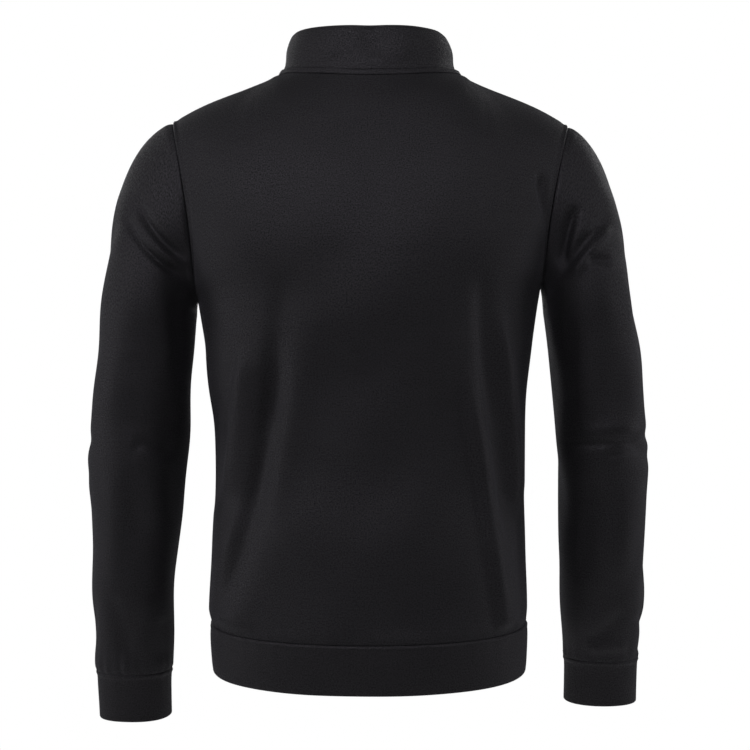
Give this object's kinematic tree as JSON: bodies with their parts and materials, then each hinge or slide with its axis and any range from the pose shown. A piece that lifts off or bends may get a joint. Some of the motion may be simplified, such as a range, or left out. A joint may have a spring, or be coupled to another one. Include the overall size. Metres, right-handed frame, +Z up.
{
  "type": "half-zip sweatshirt",
  "caption": "Long-sleeved half-zip sweatshirt with a stand collar, hem band and cuffs, in its worn hollow form, to dress a figure; the zip's pull tab swings",
  "frame": {"origin": "base of the neck, on the garment's centre line and level with the neck ends of the two shoulder seams, where a wearer's shoulders carry it", "axes": "+Z up, the wearer faces -Y, +X to the wearer's left"},
  "size_m": [0.6166, 0.2378, 0.754],
  "materials": {
    "body_knit": "smooth near-black charcoal double knit with a soft satin sheen and a fine grain",
    "zip_tape": "black woven zip tape",
    "zip_metal": "satin black coated metal"
  },
  "bodies": {
    "garment": {"back": "body_knit", "front": "body_knit", "sleeve_left": "body_knit", "sleeve_right": "body_knit", "collar": "body_knit", "hem_band": "body_knit", "cuff_left": "body_knit", "cuff_right": "body_knit", "zip_tape_left": "zip_tape", "zip_tape_right": "zip_tape", "zip_stop": "zip_metal", "zip_slider": "zip_metal"},
    "pull": {"zip_pull": "zip_metal"}
  },
  "joints": [
    {"name": "pull_swing", "type": "hinge", "parent": "garment", "child": "pull", "pos_m": [0, -0.08245, -0.02953], "axis": [-1, 0, 0], "range_deg": [0, 165]}
  ]
}
